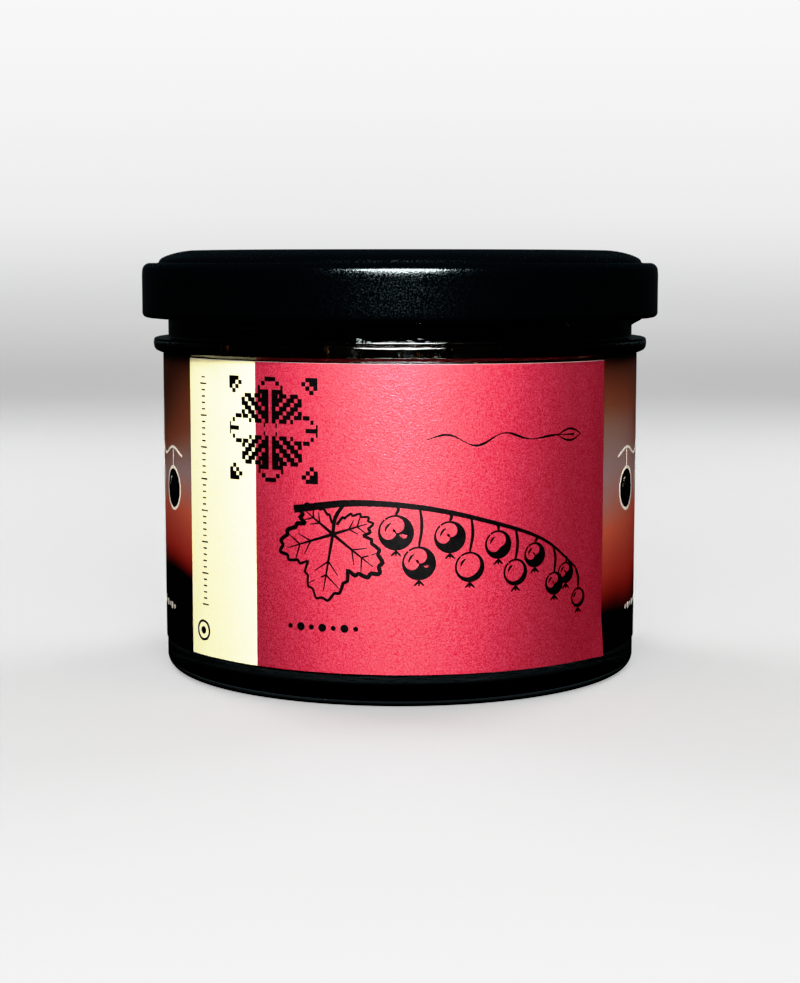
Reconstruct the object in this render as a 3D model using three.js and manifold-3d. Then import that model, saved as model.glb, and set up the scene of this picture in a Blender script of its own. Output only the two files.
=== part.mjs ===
// A squat glass jar, filled and labelled, with a six-lug twist-off lid.
// Millimetres, +Z up. The jar stands on z = 0 with its axis on Z, and its front label faces -Y.
import * as THREE from "three";
import { mergeVertices } from "three/addons/utils/BufferGeometryUtils.js";
import Module from "manifold-3d";

// Driving dimensions
const BODY_RADIUS = 39.5;
const JAR_HEIGHT = 67.85;
const LID_RADIUS = 43;
const LID_BOTTOM = 58.4;
const LID_TOP = 69.3;
const FACETS = 60; // sides of every round piece

// Glass: base, wall and neck
const WALL = 2.3;
const HEEL_ROUND = 2;
const FOOT_WIDTH = 3.5; // flat ring that the jar stands on
const PUSH_UP = 1.6; // height of the hollow under the base
const PUSH_UP_EDGE = 1.5; // width of its sloping edge
const FLOOR = 4.2; // height of the inside floor
const FLOOR_ROUND = 4;
const INNER_RADIUS = BODY_RADIUS - WALL;
const NECK_RADIUS = 38.76;
const MOUTH_RADIUS = 36.3;
const RIM_ROUND = 1.1;
const BEAD_RADIUS = 41.2; // handling bead below the neck: a flat top, a crowned face and a sloping underside
const BEAD_TOP = 55;
const BEAD_CORNER = 0.35; // round between its top and its face
const BEAD_FACE = { round: 2.5, height: 54.2 };
const BEAD_FACE_TURN = { top: 11, bottom: -15 }; // degrees, between which the face curves
const BEAD_UNDER = { round: 0.9, turn: -70 };
const BEAD_FOOT = 52.55; // height where its underside meets the body
const NECK_FILLET = 0.7; // round between the bead's top and the neck
const MOUTH_FLARE = { low: 52.5, high: 56.5 }; // heights where the inside narrows to the mouth

// Glass: six thread runs that fall clockwise, seen from above
const STARTS = 6;
const START_PITCH = 360 / STARTS;
const RISE_PER_DEGREE = 0.07;
const THREAD = { from: 44, to: 100, fade: 8 }; // degrees round from +X, for the first run
const THREAD_MIDDLE = { angle: 53, height: 58.7 }; // a point on the first run's centre line
const CREST_RADIUS = 40.5;
const CREST_HALF = 0.4; // half the run's width at its crest, and at its root in the neck
const ROOT_HALF = 1.6;
const ROOT_SUNK = 0.8; // how far the run's root lies inside the glass
const RUN_OUT = 0.2; // how far its two ends stand out from that root, still inside the glass
const THREAD_STEP = 4; // degrees between sections

// Lid: tinplate, a recessed panel inside a raised ring, a shoulder, a skirt and a rolled edge
const SHEET = 0.3;
const PANEL_DROP = 0.8;
const PANEL_RADIUS = 32.4;
const RING = { inner: 34, outer: 37.9 }; // flat top of the raised ring
const RING_CORNER = { radius: 38.85, drop: 0.3 }; // down the raised ring's outer side, from its top
const RING_SIDE = { radius: 39.55, drop: 0.9 };
const RING_FOOT = { radius: 40.1, drop: 1.65 };
const SHOULDER_HEIGHT = 67.25;
const SHOULDER = { inner: 40.8, outer: 41.45 };
const SHOULDER_ROUND = LID_RADIUS - SHOULDER.outer;
const CURL_ROUND = 0.75;
const CURL_CENTRE = { radius: LID_RADIUS - CURL_ROUND, height: LID_BOTTOM + CURL_ROUND };

// Lid: six lugs, each under its own thread run
const LUG = { middle: 88, half: 6, round: 2.5, step: 2 }; // degrees
const LUG_STUB = 0.12; // how much of it is left at its two ends, as a share
const LUG_TIP_RADIUS = 39.6;
const LUG_BOTTOM = 58.55;
const LUG_THICK = 0.9;
const LUG_BEVEL = 0.1;

// Gasket in the lid's ring
const GASKET = { inner: 35, outer: 39, bottom: JAR_HEIGHT + 0.1, top: LID_TOP - SHEET - 0.08 };
const GASKET_BEVEL = 1.3;
const GASKET_LIP = 0.2; // height of its two low edges

// Fill, clear of the glass
const FILL_GAP = 0.3;
const FILL_EDGE = 62.5; // height of its top at the mouth's wall
const FILL_CROWN = 1.5; // how much higher it stands in the middle
const FILL_LUMPS = 0.4;

// Labels: degrees round from the front, positive to the viewer's right
const LABEL_BOTTOM = 5.2;
const LABEL_TOP = 52.3;
const LABEL_THICK = 0.15;
const LABEL_GAP = 0.1; // to the glass
const FRONT = { left: -56.3, right: 53.6 };
const FRONT_TILT = 0.25; // degrees, left end high
const OVERLAP = 3; // degrees of back label under each end of the front one
const LAP_STEP = 3; // degrees over which the front label climbs onto it
const LAP_LIFT = LABEL_THICK + 0.09;
const LABEL_STEP = 3; // degrees between facets

const wasm = await Module();
wasm.setup();

const radians = THREE.MathUtils.degToRad;
const point = (radius, height) => new THREE.Vector2(radius, height);

// Points of an arc in the radius-height plane, ends included. Angles in degrees, 0 outward and 90 up.
function arc(radius, height, round, from, to, count) {
  return Array.from({ length: count + 1 }, (_, i) => {
    const angle = radians(from + ((to - from) * i) / count);
    return point(radius + round * Math.cos(angle), height + round * Math.sin(angle));
  });
}

// A solid of revolution about Z from a profile of radius-height points.
function turned(profile) {
  return new THREE.LatheGeometry(profile, FACETS).rotateX(Math.PI / 2);
}

// A closed body that follows a section of radius-height points round Z, through the given angles in degrees.
function sweptRound(angles, sectionAt) {
  const rings = angles.map((angle) => {
    const turn = radians(angle);
    return sectionAt(angle).map((p) => [p.x * Math.cos(turn), p.x * Math.sin(turn), p.y]);
  });
  const sides = rings[0].length;
  const index = [];
  for (let i = 0; i + 1 < rings.length; i++) {
    for (let j = 0; j < sides; j++) {
      const a = i * sides + j;
      const b = i * sides + ((j + 1) % sides);
      index.push(a, a + sides, b, b, a + sides, b + sides);
    }
  }
  const last = (rings.length - 1) * sides;
  for (let j = 1; j + 1 < sides; j++) {
    index.push(0, j, j + 1);
    index.push(last, last + j + 1, last + j);
  }
  const geometry = new THREE.BufferGeometry();
  geometry.setAttribute("position", new THREE.Float32BufferAttribute(rings.flat(2), 3));
  return geometry.setIndex(index);
}

// Angles from one value to another, both included, in equal steps no longer than the given one.
function steps(from, to, longest) {
  const count = Math.ceil((to - from) / longest);
  return Array.from({ length: count + 1 }, (_, i) => from + ((to - from) * i) / count);
}

function solidOf(geometry) {
  const bare = geometry.clone();
  bare.deleteAttribute("normal");
  bare.deleteAttribute("uv");
  const merged = mergeVertices(bare, 1e-3);
  const vertProperties = merged.attributes.position.array;
  const triVerts = new Uint32Array(merged.index.array);
  return new wasm.Manifold(new wasm.Mesh({ numProp: 3, vertProperties, triVerts }));
}

function geometryOf(solid) {
  const mesh = solid.getMesh();
  const geometry = new THREE.BufferGeometry();
  geometry.setAttribute("position", new THREE.BufferAttribute(mesh.vertProperties, 3));
  geometry.setIndex(new THREE.BufferAttribute(mesh.triVerts, 1));
  return geometry;
}

// A body with one copy of a ridge or lug joined on at each thread start.
function joinedAtStarts(body, copyAt) {
  let solid = solidOf(body);
  for (let start = 0; start < STARTS; start++) solid = solid.add(solidOf(copyAt(start * START_PITCH)));
  return geometryOf(solid);
}

// The handling bead from the body up to the neck.
function beadProfile() {
  const { top, bottom } = BEAD_FACE_TURN;
  const faceCentre = BEAD_RADIUS - BEAD_FACE.round;
  const [faceTop, , faceBottom] = arc(faceCentre, BEAD_FACE.height, BEAD_FACE.round, top, bottom, 2);
  const under = point(
    faceBottom.x - BEAD_UNDER.round * Math.cos(radians(bottom)),
    faceBottom.y - BEAD_UNDER.round * Math.sin(radians(bottom)),
  );
  return [
    point(BODY_RADIUS, BEAD_FOOT),
    ...arc(under.x, under.y, BEAD_UNDER.round, BEAD_UNDER.turn, bottom, 3),
    point(BEAD_RADIUS, BEAD_FACE.height),
    ...arc(faceTop.x - BEAD_CORNER, BEAD_TOP - BEAD_CORNER, BEAD_CORNER, top, 90, 2),
    ...arc(NECK_RADIUS + NECK_FILLET, BEAD_TOP + NECK_FILLET, NECK_FILLET, 270, 180, 2),
  ];
}

function glassProfile() {
  const footInner = BODY_RADIUS - HEEL_ROUND - FOOT_WIDTH;
  return [
    point(0, PUSH_UP),
    point(footInner / 2, PUSH_UP),
    point(footInner - PUSH_UP_EDGE, PUSH_UP / 2),
    point(footInner, 0),
    ...arc(BODY_RADIUS - HEEL_ROUND, HEEL_ROUND, HEEL_ROUND, -90, 0, 4),
    ...beadProfile(),
    ...arc(NECK_RADIUS - RIM_ROUND, JAR_HEIGHT - RIM_ROUND, RIM_ROUND, 0, 90, 3),
    ...arc(MOUTH_RADIUS + RIM_ROUND, JAR_HEIGHT - RIM_ROUND, RIM_ROUND, 90, 180, 3),
    point(MOUTH_RADIUS, MOUTH_FLARE.high),
    point(INNER_RADIUS, MOUTH_FLARE.low),
    ...arc(INNER_RADIUS - FLOOR_ROUND, FLOOR + FLOOR_ROUND, FLOOR_ROUND, 0, -90, 4),
    point(0, FLOOR),
  ];
}

// One thread run: a ridge on a helix that grows out of the neck and sinks back into it at both ends.
function threadRun(turn) {
  const sunk = NECK_RADIUS - ROOT_SUNK;
  return sweptRound(steps(THREAD.from + turn, THREAD.to + turn, THREAD_STEP), (angle) => {
    const local = angle - turn;
    const ends = Math.min(local - THREAD.from, THREAD.to - local) / THREAD.fade;
    const height = THREAD_MIDDLE.height + RISE_PER_DEGREE * (local - THREAD_MIDDLE.angle);
    const crest = THREE.MathUtils.lerp(sunk + RUN_OUT, CREST_RADIUS, THREE.MathUtils.smoothstep(ends, 0, 1));
    return [
      point(sunk, height - ROOT_HALF - ROOT_SUNK / 2),
      point(crest, height - CREST_HALF),
      point(crest, height + CREST_HALF),
      point(sunk, height + ROOT_HALF + ROOT_SUNK / 2),
    ];
  });
}

// Outside of the lid from the middle of its panel down to the rolled edge, or, with an inset, the inside.
function lidFace(inset) {
  const panel = LID_TOP - PANEL_DROP - inset;
  const top = LID_TOP - inset;
  const shoulder = SHOULDER_HEIGHT - inset;
  return [
    point(0, panel),
    point(PANEL_RADIUS + inset / 2, panel),
    point(RING.inner + inset / 2, top),
    point(RING.outer - inset / 2, top),
    point(RING_CORNER.radius - inset, top - RING_CORNER.drop),
    point(RING_SIDE.radius - inset, top - RING_SIDE.drop),
    point(RING_FOOT.radius - inset, top - RING_FOOT.drop),
    point(SHOULDER.inner - inset / 2, shoulder),
    ...arc(SHOULDER.outer, SHOULDER_HEIGHT - SHOULDER_ROUND, SHOULDER_ROUND - inset, 90, 0, 4),
  ];
}

function lidProfile() {
  const curl = arc(CURL_CENTRE.radius, CURL_CENTRE.height, CURL_ROUND, 0, -235, 8);
  const skirtFoot = point(LID_RADIUS - SHEET, CURL_CENTRE.height + CURL_ROUND * 1.2);
  return [...lidFace(0), ...curl, skirtFoot, ...lidFace(SHEET).reverse()].reverse();
}

// One lug: a tongue of the rolled edge flattened inward under the thread.
function lug(turn) {
  const angles = steps(LUG.middle - LUG.half + turn, LUG.middle + LUG.half + turn, LUG.step);
  return sweptRound(angles, (angle) => {
    const fromEnd = LUG.half - Math.abs(angle - turn - LUG.middle);
    const reach = Math.sqrt(THREE.MathUtils.clamp(fromEnd / LUG.round, LUG_STUB, 1));
    const tip = THREE.MathUtils.lerp(CURL_CENTRE.radius - CURL_ROUND, LUG_TIP_RADIUS, reach);
    return [
      point(CURL_CENTRE.radius, LUG_BOTTOM),
      point(CURL_CENTRE.radius, LUG_BOTTOM + LUG_THICK),
      point(tip, LUG_BOTTOM + LUG_THICK - LUG_BEVEL),
      point(tip, LUG_BOTTOM + LUG_BEVEL),
    ];
  });
}

function gasketProfile() {
  const { inner, outer, bottom, top } = GASKET;
  return [
    point(inner, bottom + GASKET_LIP),
    point(inner + GASKET_BEVEL, bottom),
    point(outer - GASKET_LIP, bottom),
    point(outer, bottom + GASKET_LIP),
    point(outer - GASKET_BEVEL, top),
    point(inner, top),
    point(inner, bottom + GASKET_LIP),
  ];
}

// The packed fill: a plug that follows the glass inside, up into the mouth, with a lumpy crown.
function fillGeometry() {
  const radius = INNER_RADIUS - FILL_GAP;
  const topRadius = MOUTH_RADIUS - FILL_GAP;
  const crown = [0.97, 0.8, 0.6, 0.4, 0.2].map((share) =>
    point(topRadius * share, FILL_EDGE + FILL_CROWN * (1 - share * share)),
  );
  const geometry = turned([
    point(0, FLOOR + FILL_GAP),
    ...arc(radius - FLOOR_ROUND, FLOOR + FILL_GAP + FLOOR_ROUND, FLOOR_ROUND, -90, 0, 3),
    point(radius, MOUTH_FLARE.low),
    point(topRadius, MOUTH_FLARE.high),
    point(topRadius, FILL_EDGE - FILL_CROWN / 2),
    ...crown,
    point(0, FILL_EDGE + FILL_CROWN),
  ]);
  const position = geometry.attributes.position;
  for (let i = 0; i < position.count; i++) {
    const x = position.getX(i);
    const y = position.getY(i);
    const z = position.getZ(i);
    const lump = FILL_LUMPS * Math.sin(0.31 * x + 0.9) * Math.cos(0.37 * y - 0.4);
    if (z > FILL_EDGE) position.setZ(i, z + lump);
  }
  return geometry;
}

// A label wrapped on the jar between two angles from the front. lift gives how far it stands off there.
function wrappedLabel(left, right, tilt, lift) {
  const angles = steps(left, right, LABEL_STEP);
  return sweptRound(
    angles.map((angle) => angle - 90),
    (turned90) => {
      const angle = turned90 + 90;
      const inside = BODY_RADIUS + LABEL_GAP + lift(angle);
      const slant = BODY_RADIUS * radians(angle) * Math.tan(radians(tilt));
      return [
        point(inside, LABEL_BOTTOM - slant),
        point(inside + LABEL_THICK, LABEL_BOTTOM - slant),
        point(inside + LABEL_THICK, LABEL_TOP - slant),
        point(inside, LABEL_TOP - slant),
      ];
    },
  );
}

// The front label climbs onto the back one near each of its own ends.
function frontLift(angle) {
  const fromEnd = Math.min(angle - FRONT.left, FRONT.right - angle);
  return LAP_LIFT * (1 - THREE.MathUtils.smoothstep(fromEnd, OVERLAP, OVERLAP + LAP_STEP));
}

const materials = {
  glass: { color: 0xdfe6e4, roughness: 0.04, metalness: 0, transparent: true, opacity: 0.35 },
  leaf: { color: 0x1c0f0a, roughness: 0.6, metalness: 0 },
  compound: { color: 0xcfcac0, roughness: 0.5, metalness: 0 },
  lacquer: { color: 0x0b0d0e, roughness: 0.38, metalness: 0.2 },
  redPaper: { color: 0xcf2d48, roughness: 0.5, metalness: 0 },
  darkPaper: { color: 0x4a1a18, roughness: 0.5, metalness: 0 },
};

const group = new THREE.Group();

function piece(name, geometry, material) {
  const mesh = new THREE.Mesh(geometry, new THREE.MeshStandardMaterial(materials[material]));
  mesh.name = name;
  group.add(mesh);
}

const backLeft = FRONT.right - OVERLAP;
const backRight = FRONT.left + OVERLAP + 360;

piece("jar", joinedAtStarts(turned(glassProfile()), threadRun), "glass");
piece("fill", fillGeometry(), "leaf");
piece("gasket", turned(gasketProfile()), "compound");
piece("lid", joinedAtStarts(turned(lidProfile()), lug), "lacquer");
piece("front_label", wrappedLabel(FRONT.left, FRONT.right, FRONT_TILT, frontLift), "redPaper");
piece("back_label", wrappedLabel(backLeft, backRight, 0, () => 0), "darkPaper");

export default group;
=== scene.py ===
"""Looks of a filled glass jar with a black twist-off lid and two labels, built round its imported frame."""
import functools
import itertools
import math
import random

import bpy
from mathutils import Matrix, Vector, noise


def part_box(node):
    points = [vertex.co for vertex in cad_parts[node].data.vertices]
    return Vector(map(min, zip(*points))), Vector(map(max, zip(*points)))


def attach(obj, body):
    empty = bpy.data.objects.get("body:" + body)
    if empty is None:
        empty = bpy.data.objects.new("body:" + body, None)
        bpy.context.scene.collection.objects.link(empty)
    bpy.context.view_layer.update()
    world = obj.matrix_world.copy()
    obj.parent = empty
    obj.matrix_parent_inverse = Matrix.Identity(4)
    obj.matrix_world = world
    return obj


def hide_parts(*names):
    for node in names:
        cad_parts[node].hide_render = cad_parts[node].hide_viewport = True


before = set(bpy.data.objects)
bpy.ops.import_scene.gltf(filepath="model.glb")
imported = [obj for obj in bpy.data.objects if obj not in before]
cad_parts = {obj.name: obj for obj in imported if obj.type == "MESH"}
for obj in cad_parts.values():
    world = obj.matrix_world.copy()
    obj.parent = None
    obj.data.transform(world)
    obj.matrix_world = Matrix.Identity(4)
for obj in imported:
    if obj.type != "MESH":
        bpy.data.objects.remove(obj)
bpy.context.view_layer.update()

# Sizes are in millimetres and angles in degrees. Every piece is made in millimetres and stored in metres.
MM = 0.001
SEGMENTS = 240  # round the axis, for every turned piece
SHARP_EDGE = 50.0

lid_low, lid_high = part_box("lid")
_, jar_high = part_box("jar")
label_low, label_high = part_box("back_label")
seal_low, seal_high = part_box("gasket")
fill_low, fill_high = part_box("fill")

# Glass
JAR_HEIGHT = jar_high.z / MM
BEAD_RADIUS = jar_high.x / MM
BEAD_TOP, BEAD_CORNER, BEAD_FOOT = 55.0, 0.35, 52.55
BEAD_FACE, BEAD_FACE_HEIGHT, BEAD_FACE_TURN = 2.5, 54.2, (11, -15)  # crowned face: from its top to its foot
BEAD_UNDER, BEAD_UNDER_TURN = 0.9, -70  # rounding under the face, and where it ends
BEAD_CHAMFER = (0.12, 0.15)  # where the bead starts: out of the body, and up it
NECK_FILLET = 0.4
BODY_RADIUS = 39.5
NECK_RADIUS = 38.76
INNER_RADIUS = 37.2
MOUTH_RADIUS = 36.3
MOUTH_FLARE = (54.8, 56.4)
HEEL_ROUND = 2.0
FOOT_INNER = 34.0
FOOT_EDGE = 0.6  # plain edge of the foot ring, on both sides of its knurl
PUSH_UP, PUSH_FLAT = 1.6, 0.75  # height in the middle, and the share of its radius that is flat
KNURL = 0.2
FLOOR = 4.2
FLOOR_ROUND = 4.0
RIM_ROUND = 1.1

# Fill, heaped from the glass to just under the lid, with its lumps and its loose strips
HEAP_RIM, HEAP_GAP, HEAP_POWER = 52.5, 1.6, 1.6
PACK_GAP, PACK_LUMP, PACK_SCALE = 0.55, 0.3, 0.35
CROWN_LUMP, CROWN_SCALE, CROWN_CALM = 0.9, 0.3, 9.0  # lumps grow from none on the axis to that radius
SHRED_THICK = 0.14
WALL_SHREDS = ((420, 46.0, HEAP_RIM + 2.5), (200, 8.5, 16.0))  # count, and the heights they lie between
CROWN_SHREDS = 320

# Thread runs on the neck, as angles from +X for the first of them
STARTS = 6
THREAD_FROM, THREAD_TO, THREAD_FADE = 44.0, 100.0, 8.0
THREAD_ANGLE, THREAD_HEIGHT = 53.0, 58.7
THREAD_RISE = 0.07
CREST_RADIUS, CREST_HALF, ROOT_HALF = 40.5, 0.4, 1.5

# Lid
LID_RADIUS = lid_high.x / MM
LID_TOP = lid_high.z / MM
LID_BOTTOM = lid_low.z / MM
SHEET = 0.3
PANEL_DROP, PANEL_EDGE = 0.8, (32.4, 34.2)
RING_EDGE, RING_SIDE, RING_DROP, RING_POWER = 34.6, 5.5, 1.65, 1.55
RING_FOOT = ((40.28, 0.06), (40.5, 0.01), (40.8, 0.0))  # radius, and height over the shoulder
CURL = 0.75
SHOULDER_HEIGHT = 67.25
SHOULDER_ROUND, SHOULDER_LEAN, SKIRT_ROUND = 1.3, 6.5, 10.0
LUG_MIDDLE, LUG_HALF, LUG_ROUND = 88.0, 6.0, 2.5
LUG_TIP, LUG_HEIGHT, LUG_THICK = 39.6, 59.0, 0.9

# Lacquer on the lid's top and on its shoulder and skirt. The first turns into the second between two radii.
DULL_EDGE = (36.0, 39.5)
LACQUER_COLORS = ((0.007, 0.009, 0.01), (0.004, 0.006, 0.0075))
LACQUER_ROUGHNESS = (0.7, 0.09)
LACQUER_SPECULAR = (0.05, 0.5)
GRAIN_SCALE = 3700  # per metre
GRAIN_STEP, GRAIN_ROUGHNESS = (0.4, 0.6), 0.18  # the noise it starts and ends at, and what it adds

# Gasket
SEAL_INNER = 35.0
SEAL_BEVEL = (0.2, 1.3)  # rise of its underside at the inner edge, and its width
SEAL_ROUND, SEAL_CHAMFER = 0.25, 0.15  # lower outer and upper inner edge
SEAL_GAP = 0.08

# Labels, as angles from the front, positive to the viewer's right
LABEL_BOTTOM = label_low.z / MM
LABEL_TOP = label_high.z / MM
LABEL_GAP, LABEL_THICK = 0.06, 0.1
LABEL_INSIDE = BODY_RADIUS + LABEL_GAP
MARGIN = 0.05  # white edge along the front label's top
FRONT_LEFT, FRONT_RIGHT = -56.3, 53.6
CREAM_EDGE = -33.8
FRONT_TILT = 0.25
OVERLAP, LAP_STEP, LAP_LIFT = 3.0, 7.0, 0.16
CURLED_CORNER = (0.45, 5.0, 7.0)  # lower right one of the front label: how far out, its angle and its height
INK_LIFT, INK_SUNK = 0.02, 0.01

# Drawing on the front label: places are millimetres along it from the front, and heights
SPRIG_STEM = ((-16.5, 30.2), (-7, 31.4), (3, 30.8), (13, 28.6), (23, 25.2), (30, 20.2))
SPRIG_BERRIES = 10
BERRY_RADII, BERRY_SHADES = (2.7, 1.55), (0.4, 0.75, 1.25)
LONG_STALKS, SHORT_STALKS = (6.2, 3.4), (1.5, 0.8)  # from the first berry to the last
SPRIG_LEAF, SPRIG_LEAF_SIZE, SPRIG_LEAF_TILT = (-10.2, 26.6), 10.6, -10
LEAF_LOBES = ((0, 1.0), (62, 0.88), (-62, 0.88), (118, 0.62), (-118, 0.62))
SHADED_SIDE = math.radians(-50)
STAR, STAR_CENTRE = 12, (-20.55, 42.1)  # half the squares across the stitched star
SQUARE, HALF_SQUARE = 0.64, 0.498  # size, and the inked half of it, short enough to keep corners apart
FLOURISH_HEIGHT, FLOURISH_WAVE, FLOURISH_LEAF = 41.0, (4.0, 29.5), (26.0, 31.0)  # height, and places along
DOT_PITCH, DOT_RADII = 1.75, (0.38, 0.62)
FRONT_DOTS, FRONT_DOTS_PLACE = 7, (-17.2, 12.2)
TICKS, TICKS_PLACE = 37, (-34.9, 13.6)
SHORT_TICK, LONG_TICK, TICK_THIN = 0.4, 0.75, 0.1  # half of each
MARK_PLACE, MARK_RING, MARK_DOT = (-35.5, 9.4), 1.5, 0.6

# Drawing on the back label
GARLAND_LEVEL, GARLAND_BERRIES = 37.0, 31.0  # heights
GARLAND_PITCH, GARLAND_SIDE = 16.0, 7  # angle between berries, and berries on each side of the middle
GARLAND_RING, GARLAND_BERRY, GARLAND_GLEAM = 3.4, 3.1, 2.0  # radii
BACK_DOTS, BACK_DOTS_HEIGHT = 89, 11.4

# Camera, found from the photograph's outlines
IMAGE_HEIGHT_PX = 983
FOCAL_PX = 1956
SENSOR = 36
CAMERA_DISTANCE, CAMERA_HEIGHT, CAMERA_DROP = 330.7, 67.07, 6.63

# Stage and lights, in metres, and tone
STAGE_RADIUS, STAGE_COVE, STAGE_WALL = 1.4, 0.7, 1.6
STAGE_FLOOR = (0, 0.03, 0.06, 0.1, 0.2, 0.4)  # radii of its rings of faces
# Painted light: the stage glows of itself, more up the wall than on the floor; the glow is listed by height
STUDIO_SHADE = 0.09
STUDIO_PAINTED_GLOW = ((0.0, 0.34), (0.03, 0.42), (0.1, 0.52), (0.3, 0.65))  # by height
AIR, AIR_EDGE = (0.045, 0.051, 0.053), (0.38, 0.5)  # from none to full, where 0 is down, 0.5 level and 1 up
LIGHT_AIM = 0.035  # height
TONE_CURVE = ((0.03, 0.007), (0.12, 0.11), (0.29, 0.29), (0.45, 0.6), (0.6, 0.89), (0.8, 0.985))


def smoothstep(value, low=0.0, high=1.0):
    share = min(max((value - low) / (high - low), 0.0), 1.0)
    return share * share * (3 - 2 * share)


def lerp(start, end, share):
    return start + (end - start) * share


def spread(low, high, count):
    """count values from low to high, both included."""
    return [lerp(low, high, i / (count - 1)) for i in range(count)]


def arc(radius, height, rounding, start, end, count):
    """Points of an arc in the radius-height plane. 0 degrees points outward and 90 up."""
    turns = [math.radians(a) for a in spread(start, end, count)]
    return [(radius + rounding * math.cos(t), height + rounding * math.sin(t)) for t in turns]


def piece(name, points, faces, materials, body, slot, smooth=True):
    """A mesh piece from points in millimetres, riding on a body. A face is (corners, material's index)."""
    mesh = bpy.data.meshes.new(name)
    mesh.from_pydata([Vector(p) * MM for p in points], [], [f[0] for f in faces])
    for look in materials:
        mesh.materials.append(look)
    mesh.polygons.foreach_set("material_index", [f[1] for f in faces])
    mesh.polygons.foreach_set("use_smooth", [smooth] * len(faces))
    mesh.update()
    mesh.set_sharp_from_angle(angle=math.radians(SHARP_EDGE))
    made = bpy.data.objects.new(name, mesh)
    bpy.context.scene.collection.objects.link(made)
    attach(made, body)
    return made


def revolve(profile_at, second_from=math.inf):
    """Points and faces of a turned body. profile_at(angle) gives radius-height points, from axis to axis or
    in a loop. The rows of faces from second_from on have the second material."""
    angles = [360 * i / SEGMENTS for i in range(SEGMENTS)]
    first = profile_at(0.0)
    rows = len(first)
    on_axis = abs(first[0][0]) < 1e-6
    points = []
    for angle in angles:
        turn = math.radians(angle)
        for radius, height in profile_at(angle):
            points.append((radius * math.cos(turn), radius * math.sin(turn), height))
    faces = []
    for i in range(SEGMENTS):
        here, there = i * rows, (i + 1) % SEGMENTS * rows
        for j in range(rows - 1 if on_axis else rows):
            k = (j + 1) % rows
            look = int(j >= second_from)
            if on_axis and j == 0:
                faces.append(((0, there + 1, here + 1), look))
            elif on_axis and k == rows - 1:
                faces.append(((here + j, there + j, rows - 1), look))
            else:
                faces.append(((here + j, there + j, there + k, here + k), look))
    return points, faces


def used(points, faces):
    """The same shape without the points that no face uses."""
    order = sorted({corner for face in faces for corner in face[0]})
    place = {old: new for new, old in enumerate(order)}
    return [points[i] for i in order], [(tuple(place[c] for c in f[0]), f[1]) for f in faces]


# Materials

def material(name, color, roughness, **sockets):
    """A Principled material, with any other socket given by its name with _ for spaces."""
    made = bpy.data.materials.new(name)
    made.use_nodes = True
    shader = made.node_tree.nodes["Principled BSDF"]
    shader.inputs["Base Color"].default_value = (*color, 1)
    shader.inputs["Roughness"].default_value = roughness
    for socket, value in sockets.items():
        shader.inputs[socket.replace("_", " ")].default_value = value
    return made


def add_node(made, kind, **inputs):
    node = made.node_tree.nodes.new(kind)
    for socket, value in inputs.items():
        node.inputs[socket.replace("_", " ")].default_value = value
    return node


def grey(value):
    return (value,) * 3


def coordinates(made, source="Object"):
    """X, Y and Z of a place, which is in the part's own frame unless another source is named."""
    tree = made.node_tree
    place = tree.nodes.new("ShaderNodeTexCoord")
    parts = tree.nodes.new("ShaderNodeSeparateXYZ")
    tree.links.new(place.outputs[source], parts.inputs[0])
    return parts.outputs["X"], parts.outputs["Y"], parts.outputs["Z"]


def noise_of(made, scale, detail=2.0, roughness=0.5):
    """A noise pattern in the part's own frame. scale is in cycles per metre."""
    tree = made.node_tree
    place = tree.nodes.new("ShaderNodeTexCoord")
    pattern = add_node(made, "ShaderNodeTexNoise", Scale=scale, Detail=detail, Roughness=roughness)
    tree.links.new(place.outputs["Object"], pattern.inputs["Vector"])
    return pattern.outputs["Fac"]


def ramp(made, source, stops):
    """Colours by the value of source, as (value, colour) stops."""
    node = made.node_tree.nodes.new("ShaderNodeValToRGB")
    elements = node.color_ramp.elements
    while len(elements) < len(stops):
        elements.new(0.5)
    for element, (value, color) in zip(elements, stops):
        element.position = value
        element.color = (*color, 1)
    made.node_tree.links.new(source, node.inputs["Fac"])
    return node.outputs["Color"]


def math_node(made, operation, *values):
    """The result of a sum on numbers or on the outputs of nodes."""
    node = made.node_tree.nodes.new("ShaderNodeMath")
    node.operation = operation
    for socket, value in zip(node.inputs, values):
        if isinstance(value, (int, float)):
            socket.default_value = value
        else:
            made.node_tree.links.new(value, socket)
    return node.outputs[0]


def paint(made, color, socket="Base Color"):
    made.node_tree.links.new(color, made.node_tree.nodes["Principled BSDF"].inputs[socket])


def bump(made, layers, socket="Normal"):
    """Relief from (pattern, depth in millimetres) layers."""
    tree = made.node_tree
    normal = None
    for source, depth in layers:
        node = add_node(made, "ShaderNodeBump", Strength=1.0, Distance=depth * MM)
        tree.links.new(source, node.inputs["Height"])
        if normal:
            tree.links.new(normal, node.inputs["Normal"])
        normal = node.outputs["Normal"]
    tree.links.new(normal, tree.nodes["Principled BSDF"].inputs[socket])


def glass_material(name, roughness, ripple, depth):
    """Clear glass with ripples, so many per metre."""
    made = material(name, (0.93, 0.96, 0.95), roughness, IOR=1.51, Transmission_Weight=1.0)
    bump(made, [(noise_of(made, ripple, 1), depth)])
    return made


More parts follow.
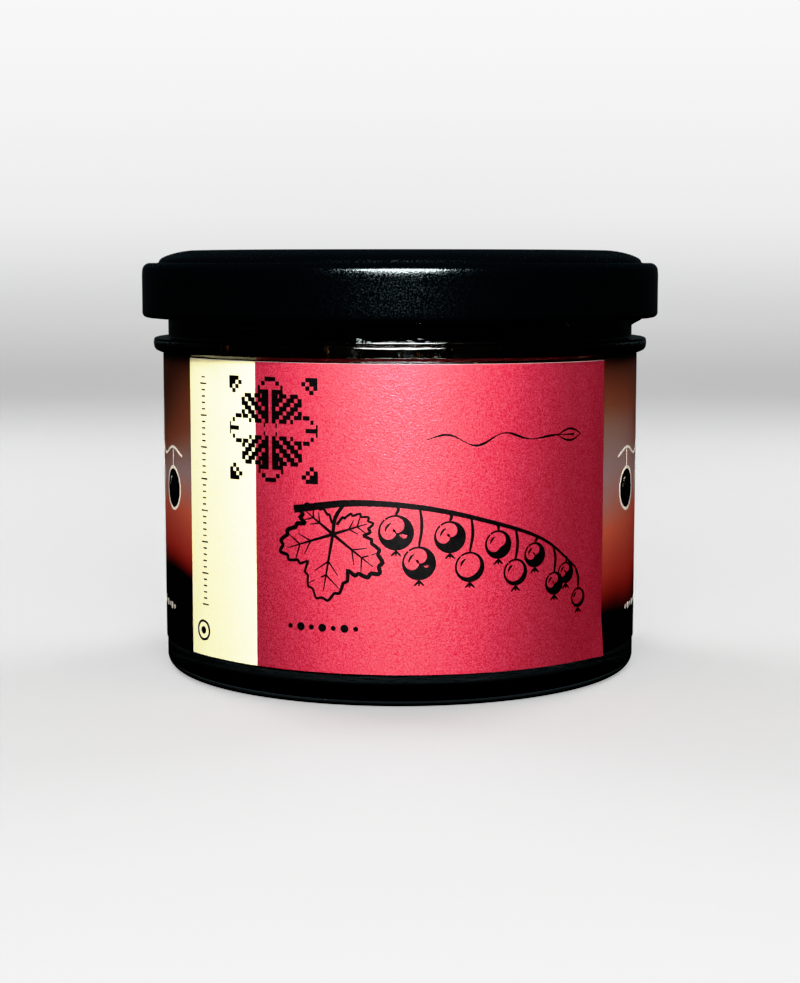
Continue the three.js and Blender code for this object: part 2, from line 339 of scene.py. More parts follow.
def lacquer_material():
    """Black lacquer with a fine grain. It is duller on the lid's top, where things rest on it."""
    made = material("black_lacquer", LACQUER_COLORS[1], 0.2, Specular_Tint=(0.9, 1.0, 0.99, 1))
    x, y, _ = coordinates(made)
    square = math_node(made, "MULTIPLY_ADD", y, y, math_node(made, "MULTIPLY", x, x))
    radius = math_node(made, "SQRT", square)

    def from_top_to_side(top, side):
        inner, outer = DULL_EDGE
        return ramp(made, radius, [(inner * MM, top), (outer * MM, side)])

    paint(made, from_top_to_side(*LACQUER_COLORS))
    dull = from_top_to_side(*map(grey, LACQUER_ROUGHNESS))
    low, high = GRAIN_STEP
    pattern = noise_of(made, GRAIN_SCALE, 1, 0.7)
    grain = ramp(made, pattern, [(low, grey(0.0)), (high, grey(GRAIN_ROUGHNESS))])
    paint(made, math_node(made, "ADD", dull, grain), "Roughness")
    paint(made, from_top_to_side(*map(grey, LACQUER_SPECULAR)), "Specular IOR Level")
    bump(made, [(noise_of(made, 3000, 1), 0.02), (noise_of(made, 1400, 1), 0.005)])
    return made


def paper_material(name, low, high, gloss, grain, **sockets):
    """Label paper in a printed colour that varies a little between two values. Its grain, as so many per
    metre and a depth, is in the coat, if it has one."""
    made = material(name, high, gloss, **sockets)
    paint(made, ramp(made, noise_of(made, 4500, 1, 0.7), [(0.35, low), (0.65, high)]))
    wave = (noise_of(made, 110, 1), 0.04)
    fine = (noise_of(made, grain[0], 1), grain[1])
    if "Coat_Weight" in sockets:
        bump(made, [wave])
        bump(made, [wave, fine], "Coat Normal")
    else:
        bump(made, [wave, fine])
    return made


def ink_material(name, low, high):
    made = material(name, low, 0.42)
    paint(made, ramp(made, noise_of(made, 1800), [(0.3, low), (0.8, high)]))
    return made


def leaf_material():
    made = material("cut_leaf", (0.02, 0.01, 0.005), 0.22, Specular_IOR_Level=0.35)
    tone = noise_of(made, 520, 3, 0.65)
    stops = [(0.4, (0.004, 0.002, 0.001)), (0.58, (0.011, 0.005, 0.002)), (0.72, (0.13, 0.065, 0.02))]
    paint(made, ramp(made, tone, stops))
    bump(made, [(noise_of(made, 1900, 2), 0.3)])
    return made


def compound_material():
    made = material("sealing_compound", (0.7, 0.67, 0.6), 0.5)
    paint(made, ramp(made, noise_of(made, 300), [(0.3, (0.62, 0.59, 0.52)), (0.7, (0.74, 0.71, 0.65))]))
    return made


def art_material():
    """Print of the back label: a dusky glow from black below, through red and lilac, to brown on top."""
    made = material("dusk_print", (0.1, 0.03, 0.02), 0.36)
    _, _, z = coordinates(made)
    height = math_node(made, "SUBTRACT", z, LABEL_BOTTOM * MM)
    share = math_node(made, "DIVIDE", height, (LABEL_TOP - LABEL_BOTTOM) * MM)
    clouds = math_node(made, "MULTIPLY_ADD", noise_of(made, 30, 1), 0.5, -0.25)
    stops = [
        (0.2, (0.004, 0.004, 0.004)),
        (0.32, (0.3, 0.05, 0.04)),
        (0.46, (0.42, 0.1, 0.07)),
        (0.6, (0.26, 0.16, 0.15)),
        (0.76, (0.16, 0.07, 0.045)),
        (0.95, (0.06, 0.028, 0.02)),
    ]
    paint(made, ramp(made, math_node(made, "ADD", share, clouds), stops))
    bump(made, [(noise_of(made, 3200, 1), 0.015)])
    return made


glass = glass_material("clear_glass", 0.01, 90, 0.05)
leaf_side_glass = glass_material("leaf_side_glass", 0.08, 700, 0.1)
lacquer = lacquer_material()
cream_paper = paper_material("cream_paper", (0.74, 0.7, 0.47), (0.82, 0.77, 0.53), 0.45, (7000, 0.03))
red_paper = paper_material(
    "red_paper", (0.58, 0.02, 0.06), (0.715, 0.13, 0.192), 0.72, (3700, 0.065),
    Metallic=0.85, Coat_Weight=1.0, Coat_IOR=1.8, Coat_Roughness=0.4,
)
white_paper = paper_material("white_paper", (0.7, 0.68, 0.64), (0.8, 0.78, 0.74), 0.7, (7000, 0.03))
ink = ink_material("black_ink", (0.004, 0.004, 0.004), (0.014, 0.012, 0.012))
pale_ink = ink_material("pale_ink", (0.62, 0.58, 0.5), (0.74, 0.7, 0.62))
leaf = leaf_material()
compound = compound_material()
dusk_print = art_material()


# Glass jar

def thread_height(angle, height):
    """How far a thread run stands out of the neck, in millimetres."""
    most = 0.0
    for start in range(STARTS):
        local = (angle - 360 / STARTS * start - THREAD_FROM) % 360 + THREAD_FROM
        if local < THREAD_TO:
            centre = THREAD_HEIGHT + THREAD_RISE * (local - THREAD_ANGLE)
            ends = smoothstep(min(local - THREAD_FROM, THREAD_TO - local), 0, THREAD_FADE)
            most = max(most, ends * smoothstep(ROOT_HALF - abs(height - centre), 0, ROOT_HALF - CREST_HALF))
    return most * (CREST_RADIUS - NECK_RADIUS)


def inner_radius(height):
    """Radius of the glass inside, above the rounded floor."""
    return lerp(INNER_RADIUS, MOUTH_RADIUS, smoothstep(height, *MOUTH_FLARE))


def bead_profile():
    """The handling bead from the body up to the neck: a sloping underside, a crowned face and a flat top."""
    top, bottom = BEAD_FACE_TURN
    face = arc(BEAD_RADIUS - BEAD_FACE, BEAD_FACE_HEIGHT, BEAD_FACE, bottom, top, 8)
    low = math.radians(bottom)
    under_centre = (face[0][0] - BEAD_UNDER * math.cos(low), face[0][1] - BEAD_UNDER * math.sin(low))
    under = arc(*under_centre, BEAD_UNDER, BEAD_UNDER_TURN, bottom - 5, 9)
    corner = arc(face[-1][0] - BEAD_CORNER, BEAD_TOP - BEAD_CORNER, BEAD_CORNER, top + 10, 90, 7)
    fillet = arc(NECK_RADIUS + NECK_FILLET, BEAD_TOP + NECK_FILLET, NECK_FILLET, 268, 180, 9)
    out, up = BEAD_CHAMFER
    foot = [(BODY_RADIUS, BEAD_FOOT - up), (BODY_RADIUS + out, BEAD_FOOT)]
    return foot + under + face + corner + fillet


def glass_outside(angle):
    """From the middle of the base to the top of the rim."""
    push = [
        (r, PUSH_UP * (1 - smoothstep(r, FOOT_INNER * PUSH_FLAT, FOOT_INNER)))
        for r in spread(0, FOOT_INNER, 12)
    ]
    knurl = KNURL * (round(angle * SEGMENTS / 360) % 2)
    foot_outer = BODY_RADIUS - HEEL_ROUND
    foot = [(r, knurl) for r in spread(FOOT_INNER + FOOT_EDGE, foot_outer - FOOT_EDGE, 4)]
    heel = arc(foot_outer, HEEL_ROUND, HEEL_ROUND, -90, 0, 12)
    wall = [(BODY_RADIUS, h) for h in spread(HEEL_ROUND + 4, BEAD_FOOT - 0.5, 8)]
    neck = [
        (NECK_RADIUS + thread_height(angle, h), h)
        for h in spread(BEAD_TOP + NECK_FILLET + 0.4, JAR_HEIGHT - RIM_ROUND - 0.1, 50)
    ]
    rim = arc(NECK_RADIUS - RIM_ROUND, JAR_HEIGHT - RIM_ROUND, RIM_ROUND, 0, 90, 8)
    return push + foot + heel + wall + bead_profile() + neck + rim


def glass_inside():
    """From the top of the rim to the middle of the floor."""
    lip = arc(MOUTH_RADIUS + RIM_ROUND, JAR_HEIGHT - RIM_ROUND, RIM_ROUND, 90, 180, 8)
    inside = [(inner_radius(h), h) for h in spread(JAR_HEIGHT - RIM_ROUND - 1, FLOOR + FLOOR_ROUND + 1, 26)]
    corner = arc(INNER_RADIUS - FLOOR_ROUND, FLOOR + FLOOR_ROUND, FLOOR_ROUND, 0, -90, 10)
    bottom = [(r, FLOOR) for r in spread(INNER_RADIUS - FLOOR_ROUND - 3, 0, 5)]
    return lip + inside + corner + bottom


def make_jar():
    turned = revolve(lambda angle: glass_outside(angle) + glass_inside(), len(glass_outside(0)))
    made = piece("jar_glass", *used(*turned), [glass, leaf_side_glass], "jar", "glass")
    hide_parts("jar")


# Lid and seal

def lug_reach(angle):
    """Share of a full lug at this angle, 0 between lugs."""
    pitch = 360 / STARTS
    local = (angle - LUG_MIDDLE + pitch / 2) % pitch - pitch / 2
    return math.sqrt(min(max((LUG_HALF - abs(local)) / LUG_ROUND, 0.0), 1.0))


def ring_height(radius):
    """Height of the raised ring's outside, which falls off in a superellipse towards the shoulder."""
    share = min(max((radius - RING_EDGE) / RING_SIDE, 0.0), 1.0)
    return LID_TOP - RING_DROP * (1 - (1 - share**RING_POWER) ** (1 / RING_POWER))


def lid_face():
    """Outside of the lid from the middle of its panel to the foot of its skirt."""
    panel = LID_TOP - PANEL_DROP
    inner, outer = PANEL_EDGE
    middle = [(r, panel) for r in (0, 10, 20, 30)]
    rise = [
        (r, lerp(panel, LID_TOP, smoothstep(r, inner, outer)))
        for r in spread(inner - 0.2, outer + 0.2, 9)
    ]
    turns = [math.radians(a) for a in spread(0, 88, 14)]
    across = [RING_EDGE + RING_SIDE * math.sin(turn) ** (2 / RING_POWER) for turn in turns]
    ring = [(r, ring_height(r)) for r in across]
    valley = [(r, SHOULDER_HEIGHT + over) for r, over in RING_FOOT]
    lean = math.radians(SHOULDER_LEAN)
    step = SKIRT_ROUND - SHOULDER_ROUND
    edge_centre = (LID_RADIUS - SKIRT_ROUND + step * math.cos(lean), SHOULDER_HEIGHT - SHOULDER_ROUND)
    belly_centre = (LID_RADIUS - SKIRT_ROUND, SHOULDER_HEIGHT - SHOULDER_ROUND - step * math.sin(lean))
    edge = arc(*edge_centre, SHOULDER_ROUND, 88, SHOULDER_LEAN, 12)
    belly = arc(*belly_centre, SKIRT_ROUND, SHOULDER_LEAN - 2, 0, 7)
    skirt = [(LID_RADIUS, h) for h in spread(belly_centre[1] - 0.6, LID_BOTTOM + 2 * CURL, 6)]
    return middle + rise + ring + valley + edge + belly + skirt


def inset(line, depth):
    """The line moved to its right-hand side by depth, point by point."""
    moved = []
    for i, (radius, height) in enumerate(line):
        ahead, behind = line[min(i + 1, len(line) - 1)], line[max(i - 1, 0)]
        along = Vector((ahead[0] - behind[0], ahead[1] - behind[1])).normalized()
        moved.append((max(radius + depth * along.y, 0.0), height - depth * along.x))
    return moved


def lid_profile(angle):
    """The lid's sheet at this angle: its outside, its rolled edge with any lug, and its inside."""
    reach = lug_reach(angle)
    centre_radius, centre_height = LID_RADIUS - CURL, LID_BOTTOM + CURL
    curl = []
    for radius, height in arc(centre_radius, centre_height, CURL, 0, -235, 22):
        inward = max((centre_radius - radius) / CURL, 0.0) * reach
        flat = LUG_HEIGHT + (height - centre_height) / CURL * LUG_THICK / 2
        tip = lerp(centre_radius, LUG_TIP, (centre_radius - radius) / CURL)
        curl.append((lerp(radius, tip, reach if inward else 0), lerp(height, flat, min(inward * 2, 1.0))))
    return lid_face() + curl + inset(lid_face(), SHEET)[::-1]


def make_lid():
    made = piece("lid_shell", *used(*revolve(lid_profile)), [lacquer], "lid", "lid_lacquer")
    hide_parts("lid")


def gasket_profile(_):
    """The same at every angle: a bevelled underside, and a top that keeps clear of the lid's ring."""
    bottom, top, outer = seal_low.z / MM, seal_high.z / MM, seal_high.x / MM
    rise, width = SEAL_BEVEL
    floor = [
        (r, bottom + rise * (1 - smoothstep(r, SEAL_INNER, SEAL_INNER + width)))
        for r in spread(SEAL_INNER, outer - 0.3, 12)
    ]
    shoulder = arc(outer - SEAL_ROUND, bottom + SEAL_ROUND, SEAL_ROUND, -60, 40, 5)
    crown = [
        (r, min(top, ring_height(r) - SHEET - SEAL_GAP))
        for r in spread(outer - 0.4, SEAL_INNER + SEAL_CHAMFER, 10)
    ]
    return floor + shoulder + crown + [(SEAL_INNER, top - SEAL_CHAMFER)]


def make_gasket():
    made = piece("seal_ring", *used(*revolve(gasket_profile)), [compound], "seal", "gasket")
    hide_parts("gasket")


# Fill

def heap_height(radius):
    """Height of the heaped fill's top at this distance from the axis."""
    top = fill_high.z / MM - HEAP_GAP
    return lerp(top, HEAP_RIM, min(radius / INNER_RADIUS, 1.0) ** HEAP_POWER)


def fill_profile(angle):
    """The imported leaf: uneven where it meets the glass and on top."""
    turn = math.radians(angle)
    side = Vector((math.cos(turn), math.sin(turn), 0))

    def packed(radius, height):
        lump = noise.noise(side * radius * PACK_SCALE + Vector((0, 0, height * PACK_SCALE)))
        return max(radius - PACK_GAP + PACK_LUMP * lump, 0), height

    floor = [(r, fill_low.z / MM + 0.1) for r in spread(0, INNER_RADIUS - FLOOR_ROUND - 1, 8)]
    corner = arc(INNER_RADIUS - FLOOR_ROUND, FLOOR + FLOOR_ROUND, FLOOR_ROUND, -85, -5, 8)
    wall = [(inner_radius(h), h) for h in spread(FLOOR + FLOOR_ROUND + 1, HEAP_RIM - 0.5, 36)]
    crown = []
    for radius in spread(INNER_RADIUS - 1.2, 0, 28):
        lump = noise.noise(side * radius * CROWN_SCALE + Vector((0, 0, 3))) * min(radius / CROWN_CALM, 1.0)
        crown.append((radius, heap_height(radius) + CROWN_LUMP * lump))
    return floor + [packed(*p) for p in corner + wall] + crown


def shred(points, faces, path, across):
    """One strip of cut leaf along a path of points, with the vector across giving half its width at each."""
    start = len(points)
    for spot, half in zip(path, across):
        outward = Vector((spot.x, spot.y, 0)).normalized() * (SHRED_THICK / 2)
        points += [spot - half - outward, spot + half - outward]
        points += [spot + half + outward, spot - half + outward]
    last = start + 4 * (len(path) - 1)
    for i in range(start, last, 4):
        for j in range(4):
            k = (j + 1) % 4
            faces.append(((i + j, i + k, i + 4 + k, i + 4 + j), 0))
    faces.append(((start + 3, start + 2, start + 1, start), 0))
    faces.append(((last, last + 1, last + 2, last + 3), 0))


def wall_shreds(rng, points, faces, count, low, high):
    """Strips that lie against the glass between two heights."""
    for _ in range(count):
        angle, height = rng.uniform(0, 360), rng.uniform(low, high)
        length, width = rng.uniform(5, 15), rng.uniform(0.7, 2.0)
        slope, bend = math.radians(rng.gauss(0, 32)), rng.uniform(-0.03, 0.03)
        depth, roll = rng.uniform(0.16, 0.6), rng.gauss(0, 0.5)
        path, across = [], []
        for step in spread(-length / 2, length / 2, 8):
            z = min(max(height + step * math.sin(slope) + bend * step * step, low), high)
            radius = inner_radius(z) - depth - 0.12 * math.sin(step * 0.9 + angle)
            turn = math.radians(angle) + step * math.cos(slope) / radius
            out = Vector((math.cos(turn), math.sin(turn), 0))
            along = Vector((-out.y, out.x, 0))
            half = (Vector((0, 0, 1)) * math.cos(slope) - along * math.sin(slope)) * math.cos(roll)
            taper = width / 2 * (1 - abs(2 * step / length) ** 4 * 0.7)
            path.append(out * radius + Vector((0, 0, z)))
            across.append((half + out * math.sin(roll) * 0.15) * taper)
        shred(points, faces, path, across)


def crown_shreds(rng, points, faces, count):
    """Strips that lie loose on the heap."""
    for _ in range(count):
        reach, angle = (INNER_RADIUS - 6) * math.sqrt(rng.random()), rng.uniform(0, math.tau)
        centre = Vector((reach * math.cos(angle), reach * math.sin(angle), 0))
        heading, length = rng.uniform(0, math.tau), rng.uniform(4, 10)
        along = Vector((math.cos(heading), math.sin(heading), 0))
        width, curl = rng.uniform(0.7, 1.8), rng.uniform(-0.02, 0.02)
        lift = rng.uniform(0, 0.5)
        path, across = [], []
        for step in spread(-length / 2, length / 2, 6):
            spot = centre + along * step
            path.append(spot + Vector((0, 0, heap_height(spot.length) + lift + curl * step * step)))
            across.append(Vector((-along.y, along.x, 0.2)) * width / 2)
        shred(points, faces, path, across)


def make_fill():
    rng = random.Random(7)
    points, faces = used(*revolve(fill_profile))
    made = piece("leaf_core", points, faces, [leaf], "jar", "fill")
    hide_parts("fill")
    points, faces = [], []
    for count, low, high in WALL_SHREDS:
        wall_shreds(rng, points, faces, count, low, high)
    crown_shreds(rng, points, faces, CROWN_SHREDS)
    piece("leaf_shreds", points, faces, [leaf], "jar", "fill", smooth=False)


# Labels

def front_inside(angle, height):
    """Radius of the front label's inside, which climbs onto the back label and curls off at one corner."""
    end = min(angle - FRONT_LEFT, FRONT_RIGHT - angle)
    lap = LAP_LIFT * (1 - smoothstep(end, OVERLAP, OVERLAP + LAP_STEP))
    out, wide, high = CURLED_CORNER
    across = smoothstep(angle, FRONT_RIGHT - wide, FRONT_RIGHT)
    corner = out * across * (1 - smoothstep(height, LABEL_BOTTOM, LABEL_BOTTOM + high))
    return LABEL_INSIDE + lap + corner


def front_slant(angle):
    """How far the tilted front label lies below level at this angle."""
    return BODY_RADIUS * math.radians(angle) * math.tan(math.radians(FRONT_TILT))


def on_jar(radius, angle, height):
    """The point at this angle from the front."""
    turn = math.radians(angle - 90)
    return Vector((radius * math.cos(turn), radius * math.sin(turn), height))


def sheet(columns, rows, inside, slant, look):
    """A wrapped sheet of label paper. look(column, row) gives the material of its printed face there."""
    points, faces = [], []
    for lift in (0.0, LABEL_THICK):
        for angle in columns:
            for height in rows:
                points.append(on_jar(inside(angle, height) + lift, angle, height - slant(angle)))
    high, wide = len(rows), len(columns)
    layer = high * wide
    for i in range(wide - 1):
        for j in range(high - 1):
            a, b = i * high + j, (i + 1) * high + j
            faces.append(((a, a + 1, b + 1, b), 0))
            faces.append(((layer + a, layer + b, layer + b + 1, layer + a + 1), look(i, j)))
    ring = [i * high for i in range(wide)]
    ring += [(wide - 1) * high + j for j in range(1, high)]
    ring += [i * high + high - 1 for i in range(wide - 2, -1, -1)]
    ring += list(range(high - 2, 0, -1))
    for a, b in zip(ring, ring[1:] + ring[:1]):
        faces.append(((a, b, layer + b, layer + a), look(min(a // high, wide - 2), 0)))
    return points, faces


def front_look(column, row, cream_columns, rows):
    """White paper along the top, and below it the cream strip or the red field."""
    if row == rows - 2:
        return 0
    return 1 if column < cream_columns else 2


def make_labels():
    rows = spread(LABEL_BOTTOM, LABEL_TOP - MARGIN, 33) + [LABEL_TOP]
    cream = spread(FRONT_LEFT, CREAM_EDGE, 31)
    columns = cream + spread(CREAM_EDGE, FRONT_RIGHT, 117)[1:]
    look = functools.partial(front_look, cream_columns=len(cream) - 1, rows=len(rows))
    shape = sheet(columns, rows, front_inside, front_slant, look)
    made = piece("front_label_sheet", *shape, [white_paper, cream_paper, red_paper], "jar", "front_paper")
    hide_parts("front_label")
    around = spread(FRONT_RIGHT - OVERLAP, FRONT_LEFT + OVERLAP + 360, 260)
    shape = sheet(around, rows, lambda angle, height: LABEL_INSIDE, lambda angle: 0.0, lambda column, row: 1)
    made = piece("back_label_sheet", *shape, [white_paper, dusk_print], "jar", "back_paper")
    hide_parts("back_label")


# Print on the labels

def on_back(along, height, lift):
    """A place on the back label, from the middle of the jar's back."""
    return on_jar(LABEL_INSIDE + LABEL_THICK + lift, 180 + math.degrees(along / BODY_RADIUS), height)


def on_front(along, height, lift):
    """A place on the front label, from the middle of the jar's front."""
    angle = math.degrees(along / BODY_RADIUS)
    level = height + front_slant(angle)
    return on_jar(front_inside(angle, level) + LABEL_THICK + lift, angle, height)


def curve_through(knots, per_span=10):
    """A smooth line through the knots."""
    ends = [2 * knots[0] - knots[1], *knots, 2 * knots[-1] - knots[-2]]
    line = []
    for a, b, c, d in zip(ends, ends[1:], ends[2:], ends[3:]):
        for i in range(per_span):
            t = i / per_span
            bend = (2 * a - 5 * b + 4 * c - d) * t * t
            twist = (3 * b - a - 3 * c + d) * t**3
            line.append(0.5 * (2 * b + (c - a) * t + bend + twist))
    return line + [knots[-1]]


class Print:
    """Thin closed bodies of ink that lie on a label, where place(along, height, lift) puts them."""

    def __init__(self, place):
        self.points, self.faces, self.place = [], [], place

    def prism(self, left, right):
        """A strip between two rows of places."""
        start = len(self.points)
        for a, b in zip(left, right):
            for spot, lift in ((a, -INK_SUNK), (b, -INK_SUNK), (b, INK_LIFT), (a, INK_LIFT)):
                self.points.append(self.place(spot.x, spot.y, lift))
        last = start + 4 * (len(left) - 1)
        for i in range(start, last, 4):
            for j in range(4):
                k = (j + 1) % 4
                self.faces.append(((i + k, i + j, i + 4 + j, i + 4 + k), 0))
        self.faces.append(((start, start + 1, start + 2, start + 3), 0))
        self.faces.append(((last + 3, last + 2, last + 1, last), 0))

    def stroke(self, line, width):
        """A pen stroke. width(share of its length) gives its width."""
        left, right = [], []
        for i, spot in enumerate(line):
            ahead = line[min(i + 1, len(line) - 1)] - line[max(i - 1, 0)]
            side = Vector((-ahead.y, ahead.x)).normalized() * width(i / (len(line) - 1)) / 2
            left.append(spot + side)
            right.append(spot - side)
        self.prism(left, right)

    def block(self, low, high):
        self.prism([Vector((low.x, high.y)), high], [low, Vector((high.x, low.y))])

    def dot(self, centre, radius, count=9):
        sweep = [math.radians(a) for a in spread(-90, 90, count)]
        tall = [Vector((math.sin(t), math.cos(t))) * radius for t in sweep]
        self.prism([centre + p for p in tall], [centre + Vector((p.x, -p.y)) for p in tall])


def pen(low, high, power=1.0):
    """Stroke width that swells in the middle."""
    return lambda share: lerp(low, high, math.sin(math.pi * min(max(share, 0.0), 1.0)) ** power)


def round_line(centre, radius, start, sweep, count):
    """Points of a circular arc on the label."""
    turns = [math.radians(a) for a in spread(start, start + sweep, count)]
    return [centre + radius * Vector((math.cos(t), math.sin(t))) for t in turns]


def draw_berry(art, centre, radius, shade):
    """A currant: a rim that thickens to a shaded side, a gleam, and the dry tip below."""
    outer, rim = [], []
    for angle in spread(132, 488, 49):
        turn = math.radians(angle)
        way = Vector((math.cos(turn), math.sin(turn)))
        dark = (0.5 + 0.5 * math.cos(turn - SHADED_SIDE)) ** 2
        outer.append(centre + way * radius)
        rim.append(centre + way * (radius - lerp(0.26, shade * radius, dark)))
    art.prism(rim, outer)
    art.stroke(round_line(centre, 0.6 * radius, 115, 60, 10), pen(0.08, 0.34))
    tip = centre - Vector((0, radius))
    for lean in (-0.75, 0.0, 0.75):
        art.stroke([tip, tip + Vector((lean * 0.5, -0.5)), tip + Vector((lean, -0.85))], pen(0.14, 0.34))


def leaf_reach(angle):
    """Distance from the stalk to the leaf's edge, as a share of its longest lobe. 0 degrees is that lobe."""
    lobes = [length * (1 - 0.5 * (abs(angle - at) / 40) ** 1.4) for at, length in LEAF_LOBES]
    tooth = 0.07 * abs(2 * (angle / 11 % 1) - 1)
    return max(*lobes, 0.2) - tooth


def draw_leaf(art, stalk, size, tilt):
    """A lobed leaf that hangs from its stalk, with a vein to each lobe."""

    def spot(angle, reach):
        turn = math.radians(angle + tilt)
        return stalk + size * reach * Vector((math.sin(turn), -math.cos(turn)))

    edge = [spot(a, leaf_reach(a)) for a in spread(-168, 168, 240)]
    art.stroke(edge, lambda share: 0.34 + 0.3 * math.sin(7 * share) ** 2)
    for at, length in LEAF_LOBES:
        art.stroke([spot(at, length * s) for s in spread(0, 0.84, 8)], lambda share: lerp(0.5, 0.12, share))
        for side in (-1, 1):
            for start in (0.4, 0.6):
                tip = spot(at + side * 17, length * (start + 0.2))
                art.stroke([spot(at, length * start), tip], lambda share: lerp(0.26, 0.1, share))


def draw_sprig(art, rng):
    """A string of currants with one leaf, in pen."""
    stem = curve_through([Vector(p) for p in SPRIG_STEM], 14)
    art.stroke(stem, lambda share: lerp(1.15, 0.3, share))
    last = SPRIG_BERRIES - 1
    for i, share in enumerate(spread(0.33, 1.0, SPRIG_BERRIES)):
        top = stem[round(share * (len(stem) - 1))]
        radius = lerp(*BERRY_RADII, i / last)
        drop = lerp(*(LONG_STALKS if i % 2 else SHORT_STALKS), i / last)
        centre = top + Vector((rng.uniform(-0.3, 0.9), -drop - radius))
        neck = centre + Vector((0, radius))
        art.stroke(curve_through([top, (top + neck) / 2 + Vector((0.35, 0.1)), neck], 6), pen(0.3, 0.48))
        draw_berry(art, centre, radius, rng.choice(BERRY_SHADES))
    stalk = Vector(SPRIG_LEAF)
    joint = stem[round(0.17 * (len(stem) - 1))]
    art.stroke(curve_through([joint, (joint + stalk) / 2 + Vector((-0.5, 0.2)), stalk], 6), pen(0.45, 0.6))
    draw_leaf(art, stalk, SPRIG_LEAF_SIZE, SPRIG_LEAF_TILT)


def draw_flourish(art):
    """A long thin wave that ends in a small leaf shape."""
    start, end = FLOURISH_WAVE
    wave = []
    for x in spread(start, end, 90):
        swell = math.sin((x - start) * 0.62) * math.exp(-((x - 12) / 9) ** 2)
        wave.append(Vector((x, FLOURISH_HEIGHT + swell)))
    art.stroke(wave, lambda share: 0.12 + 0.22 * math.sin(14 * share) ** 2)
    stalk, tip = FLOURISH_LEAF
    for side in (1, -1):
        edge = []
        for x in spread(stalk, tip, 20):
            bulge = 0.9 * math.sin(math.pi * (x - stalk) / (tip - stalk))
            edge.append(Vector((x, FLOURISH_HEIGHT + side * bulge)))
        art.stroke(edge, pen(0.1, 0.3))


def draw_beads(art, start, height, count):
    """A row of beads, small and large in turn."""
    for i in range(count):
        art.dot(Vector((start + DOT_PITCH * i, height)), DOT_RADII[i % 2])


def draw_scale(art):
    """A scale of ticks up the cream strip, a millimetre apart."""
    along, low = TICKS_PLACE
    for i in range(TICKS):
        half = Vector((SHORT_TICK if i % 5 else LONG_TICK, TICK_THIN))
        middle = Vector((along, low + i))
        art.block(middle - half, middle + half)


def draw_mark(art):
    """A ring round a dot, at the foot of the cream strip."""
    centre = Vector(MARK_PLACE)
    art.stroke(round_line(centre, MARK_RING, 90, 359, 40), lambda share: 0.34)
    art.dot(centre, MARK_DOT)


def stitched(i, j):
    """Whether a square of the star is filled: eight petals, with a bud on each side and at each corner."""
    low, high = sorted((abs(i), abs(j)))
    petal = 0 < low < high and (high <= 8 or low + high <= STAR) and (high - low != 3 or low + high < 7)
    bud = high >= STAR - 2 and low + high <= STAR + 1
    corner = low >= STAR - 3 and 2 * STAR - low - high in (0, 1, 2, 4)
    return petal or bud or corner


def draw_mosaic(art):
    """A stitched star of small squares, across the edge of the two colours."""
    centre = Vector(STAR_CENTRE)
    squares = range(-STAR, STAR + 1)
    for j in squares:
        for filled, run in itertools.groupby(squares, lambda i: stitched(i, j)):
            run = list(run)
            if filled:
                low = centre + SQUARE * Vector((run[0] - HALF_SQUARE, j - HALF_SQUARE))
                high = centre + SQUARE * Vector((run[-1] + HALF_SQUARE, j + HALF_SQUARE))
                art.block(low, high)


def draw_garland(pale, dark):
    """Round berries that hang from a wavy line round the back label, over a row of beads."""
    step = math.radians(GARLAND_PITCH) * BODY_RADIUS
    reach = (GARLAND_SIDE + 0.4) * step
    line = [
        Vector((x, GARLAND_LEVEL + 0.7 * math.cos(x * math.tau / step)))
        for x in spread(-reach, reach, 400)
    ]
    pale.stroke(line, pen(0.3, 0.5, 0.2))
    for i in range(-GARLAND_SIDE, GARLAND_SIDE + 1):
        centre = Vector((i * step, GARLAND_BERRIES))
        stalk = [Vector((centre.x, GARLAND_LEVEL + 0.6)), Vector((centre.x, centre.y + 3.5))]
        pale.stroke(stalk, lambda share: 0.35)
        pale.stroke(round_line(centre, GARLAND_RING, 93, 356, 60), lambda share: 0.5)
        dark.dot(centre, GARLAND_BERRY, 25)
        pale.stroke(round_line(centre, GARLAND_GLEAM, 110, 60, 12), pen(0.1, 0.5))
    draw_beads(pale, -(BACK_DOTS - 1) / 2 * DOT_PITCH, BACK_DOTS_HEIGHT, BACK_DOTS)


def make_print():
    rng = random.Random(3)
    front = Print(on_front)
    draw_sprig(front, rng)
    draw_flourish(front)
    draw_beads(front, *FRONT_DOTS_PLACE, FRONT_DOTS)
    draw_scale(front)
    draw_mark(front)
    mosaic = Print(on_front)
    draw_mosaic(mosaic)
    pale, dark = Print(on_back), Print(on_back)
    draw_garland(pale, dark)
    for name, art, look, slot in (
        ("label_drawing", front, ink, "front_paper"),
        ("label_mosaic", mosaic, ink, "front_paper"),
        ("garland_lines", pale, pale_ink, "back_paper"),
        ("garland_berries", dark, ink, "back_paper"),
    ):
        piece(name, art.points, art.faces, [look], "jar", slot, smooth=False)


# Stage, light and camera

def area_light(name, place, target, size, power):
    data = bpy.data.lights.new(name, "AREA")
    data.shape = "RECTANGLE"
    data.size, data.size_y = size
    data.energy = power
    made = bpy.data.objects.new(name, data)
    made.location = place
    made.rotation_euler = (Vector(target) - Vector(place)).to_track_quat("-Z", "Y").to_euler()
    made.visible_camera = False
    bpy.context.scene.collection.objects.link(made)
    return made


def studio_material():
    """Plain pale paper with painted light: a glow of its own, stronger up the wall, so that it takes only
    soft shadows.
    """
    made = material("studio_paper", grey(STUDIO_SHADE), 0.9, Specular_IOR_Level=0.1, Emission_Strength=1.0)
    _, _, z = coordinates(made)
    # painted light: the stage's own emission, brighter with height
    paint(made, ramp(made, z, [(at, grey(glow)) for at, glow in STUDIO_PAINTED_GLOW]), "Emission Color")
    return made


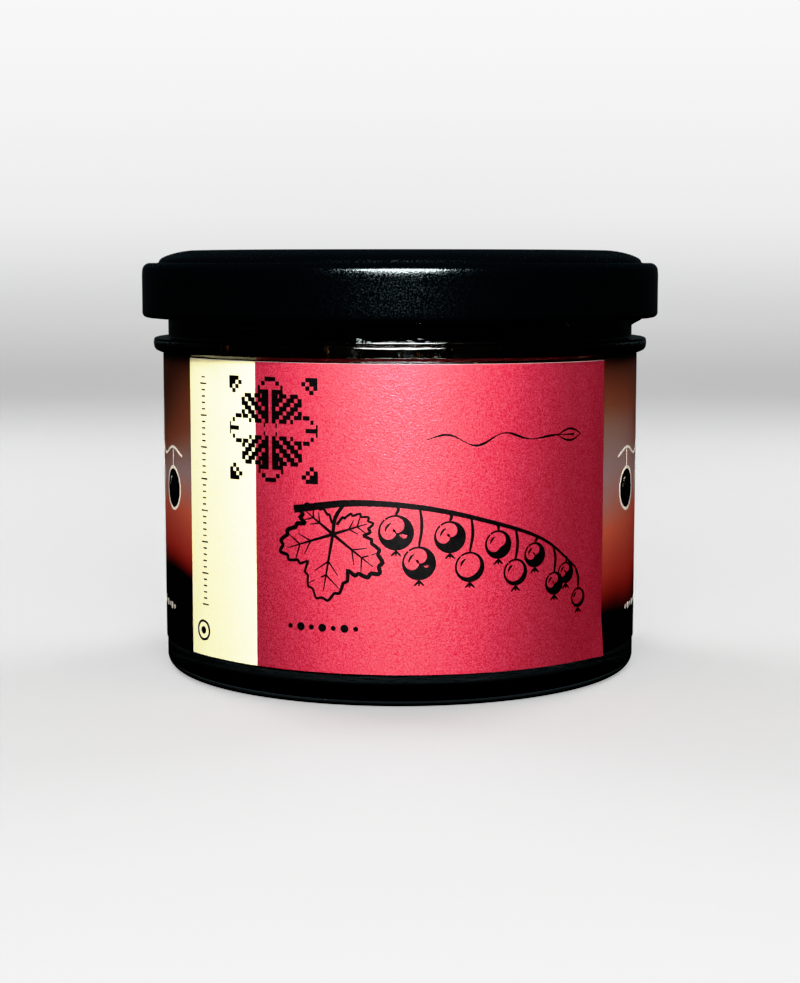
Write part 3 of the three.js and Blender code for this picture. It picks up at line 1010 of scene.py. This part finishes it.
def make_stage():
    """A round studio: floor, cove, wall and dome."""
    floor = [(r, 0.0) for r in STAGE_FLOOR]
    cove = arc(STAGE_RADIUS - STAGE_COVE, STAGE_COVE, STAGE_COVE, -90, 0, 12)
    dome = arc(0, STAGE_WALL, STAGE_RADIUS, 0, 90, 12)
    points, faces = used(*revolve(lambda angle: floor + cove + dome))
    mesh = bpy.data.meshes.new("studio")
    mesh.from_pydata(points, [], [f[0] for f in faces])
    mesh.polygons.foreach_set("use_smooth", [True] * len(faces))
    mesh.materials.append(studio_material())
    made = bpy.data.objects.new("studio", mesh)
    bpy.context.scene.collection.objects.link(made)
    made.visible_diffuse = False
    made.visible_glossy = False
    made.visible_transmission = False


def light_at(name, azimuth, elevation, distance, size, power):
    """A soft light aimed at the jar's middle. Azimuth 0 is the front, and positive is to the right."""
    target = Vector((0, 0, LIGHT_AIM))
    turn, rise = math.radians(azimuth - 90), math.radians(elevation)
    way = Vector((math.cos(turn) * math.cos(rise), math.sin(turn) * math.cos(rise), math.sin(rise)))
    return area_light(name, target + way * distance, target, size, power)


def make_lights():
    """A key light in front, and soft ones behind and above that no gloss reflects and no glass shows."""
    key = light_at("key", azimuth=0, elevation=27, distance=0.38, size=(0.25, 0.18), power=2.2)
    key.data.shape = "ELLIPSE"
    left = light_at("left", azimuth=-130, elevation=35, distance=0.6, size=(0.3, 0.3), power=4.0)
    right = light_at("right", azimuth=130, elevation=35, distance=0.6, size=(0.3, 0.3), power=3.7)
    top = light_at("top", azimuth=0, elevation=89, distance=1.3, size=(2.4, 2.4), power=12.0)
    for lamp in (left, right, top):
        lamp.visible_glossy = False
        lamp.visible_transmission = False


def make_world():
    """Dim air from the horizon up, which fades to none a little below it."""
    world = bpy.data.worlds.new("studio_air")
    world.use_nodes = True
    tree = world.node_tree
    _, _, z = coordinates(world, "Generated")
    level = math_node(world, "MULTIPLY_ADD", z, 0.5, 0.5)
    none_at, full_at = AIR_EDGE
    air = ramp(world, level, [(none_at, grey(0.0)), (full_at, AIR)])
    tree.links.new(air, tree.nodes["Background"].inputs["Color"])
    bpy.context.scene.world = world


def set_tone():
    """A contrasty print of the scene, as the photograph has."""
    view = bpy.context.scene.view_settings
    view.view_transform = "Standard"
    view.use_curve_mapping = True
    curve = view.curve_mapping.curves[3]  # after those for red, green and blue, the one for all
    for place in TONE_CURVE:
        curve.points.new(*place)
    view.curve_mapping.update()


def make_camera():
    data = bpy.data.cameras.new("photo_camera")
    data.sensor_fit = "VERTICAL"
    data.sensor_height = SENSOR
    data.lens = FOCAL_PX / IMAGE_HEIGHT_PX * SENSOR
    data.clip_start = 0.01
    made = bpy.data.objects.new("photo_camera", data)
    made.location = (0, -CAMERA_DISTANCE * MM, CAMERA_HEIGHT * MM)
    made.rotation_euler = (math.radians(90 - CAMERA_DROP), 0, 0)
    bpy.context.scene.collection.objects.link(made)
    bpy.context.scene.camera = made


make_jar()
make_lid()
make_gasket()
make_fill()
make_labels()
make_print()
make_stage()
make_lights()
make_world()
make_camera()

set_tone()
